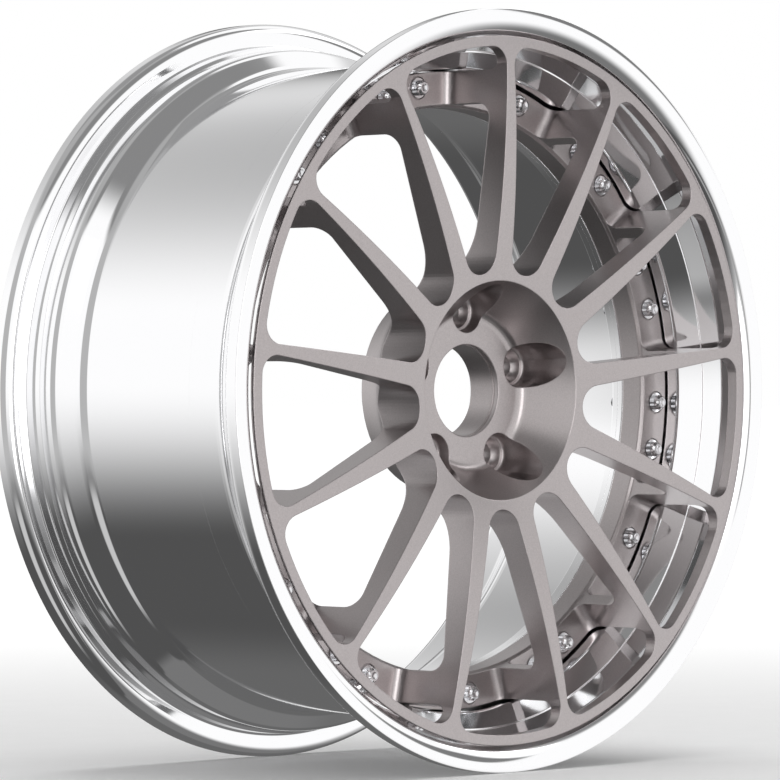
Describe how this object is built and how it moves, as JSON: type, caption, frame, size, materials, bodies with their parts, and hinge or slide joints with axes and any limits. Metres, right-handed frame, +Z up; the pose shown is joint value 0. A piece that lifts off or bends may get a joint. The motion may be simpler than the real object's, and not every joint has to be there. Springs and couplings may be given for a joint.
{
  "type": "split rim wheel",
  "caption": "Split rim car wheel: a spoked forged centre bolted between a polished outer lip and a deep inner barrel, with a clamp-in valve.",
  "frame": {"origin": "the wheel's centre: on the axle, halfway between the outer faces of the two rim flanges", "axes": "+Y along the axle from the wheel's front to its rear, +Z up through one spoke, +X to the right as seen from the front"},
  "size_m": [0.5474, 0.2512, 0.5474],
  "materials": {
    "centre": "satin",
    "rim": "polished",
    "bolt": "polished",
    "steel": "zinc plated",
    "valve": "nickel plated",
    "brass": "brass",
    "seal": "matte"
  },
  "bodies": {
    "root": {"centre": "centre", "outer_lip": "rim", "inner_barrel": "rim", "assembly_bolts": "bolt", "bolt_washers": "steel", "assembly_nuts": "steel", "rim_seal": "seal", "valve_stem": "valve", "valve_grommet": "seal", "valve_washer": "valve", "valve_nut": "valve", "valve_core": "brass", "valve_pin": "steel", "valve_cap": "valve", "cap_seal": "seal"}
  },
  "joints": []
}
